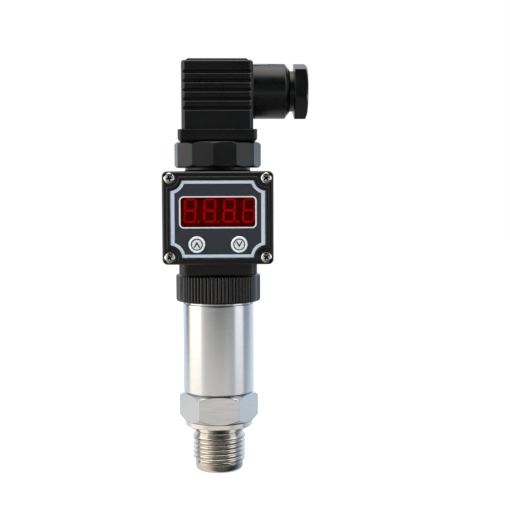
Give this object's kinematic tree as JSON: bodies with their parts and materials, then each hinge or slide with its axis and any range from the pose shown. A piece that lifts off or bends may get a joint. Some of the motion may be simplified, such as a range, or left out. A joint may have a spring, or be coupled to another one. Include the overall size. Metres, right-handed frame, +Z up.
{
  "type": "pressure transmitter",
  "caption": "Pressure transmitter with hexagon process connection, round steel body, plug-on digital display head and right-angle cable plug.",
  "frame": {"origin": "centre of the pressure port at the end face of the nose, the lowest point", "axes": "+Z up along the body axis, from the port to the plug; -Y is the front with the display; the cable leaves along +X"},
  "size_m": [0.0556, 0.0437, 0.1608],
  "materials": {
    "bar_steel": "satin turned bar",
    "tube_steel": "fine brushed round the tube",
    "spring_steel": "plain",
    "case_black": "fine moulded",
    "ring_black": "moulded, satin",
    "panel_slate": "printed film",
    "red_acrylic": "polished",
    "display_white": "moulded",
    "button_silver": "satin plated",
    "screw_plated": "bright plated",
    "brass_contact": "tinned brass",
    "black_rubber": "moulded",
    "board_green": "solder mask",
    "component_black": "moulded",
    "spacer_nylon": "moulded"
  },
  "bodies": {
    "body": {"process_connection": "bar_steel", "body_tube": "tube_steel", "threaded_neck": "tube_steel", "sensor_cell": "tube_steel", "sensor_lock_ring": "tube_steel", "ring_clip": "spring_steel", "head_case": "case_black", "bezel": "case_black", "lower_socket": "case_black", "lower_plug_block": "case_black", "upper_socket": "case_black", "plug_housing": "case_black", "contact_block": "case_black", "face_panel": "panel_slate", "window_filter": "red_acrylic", "led_display": "display_white", "bezel_screws": "screw_plated", "centre_screw": "screw_plated", "pressure_washer": "screw_plated", "lower_blades": "brass_contact", "lower_sleeves": "brass_contact", "upper_blades": "brass_contact", "plug_sleeves": "brass_contact", "sensor_o_ring": "black_rubber", "neck_o_ring": "black_rubber", "upper_o_ring": "black_rubber", "bezel_gasket": "black_rubber", "plug_gasket": "black_rubber", "cable_grommet": "black_rubber", "screw_seal": "black_rubber", "amplifier_board": "board_green", "display_board": "board_green", "main_board": "board_green", "amplifier_chips": "component_black", "main_board_chips": "component_black", "board_header": "component_black", "tact_switches": "component_black", "board_spacers": "spacer_nylon"},
    "union_ring": {"union_ring": "ring_black"},
    "head_nut": {"head_nut": "ring_black"},
    "gland_nut": {"gland_nut": "ring_black"},
    "button_up": {"button_up": "button_silver", "plunger_up": "component_black"},
    "button_down": {"button_down": "button_silver", "plunger_down": "component_black"}
  },
  "joints": [
    {"name": "union_ring_turn", "type": "hinge", "parent": "body", "child": "union_ring", "pos_m": [0, 0, 0.07263], "axis": [0, 0, 1], "continuous": true},
    {"name": "head_nut_turn", "type": "hinge", "parent": "body", "child": "head_nut", "pos_m": [0, 0, 0.12448], "axis": [0, 0, 1], "continuous": true},
    {"name": "gland_nut_turn", "type": "hinge", "parent": "body", "child": "gland_nut", "pos_m": [0.0323, 0, 0.14918], "axis": [1, 0, 0], "continuous": true},
    {"name": "button_up_press", "type": "slide", "parent": "body", "child": "button_up", "axis": [0, 1, 0], "range_m": [0, 0.0004], "stiffness_N_per_m": 4000},
    {"name": "button_down_press", "type": "slide", "parent": "body", "child": "button_down", "axis": [0, 1, 0], "range_m": [0, 0.0004], "stiffness_N_per_m": 4000}
  ]
}
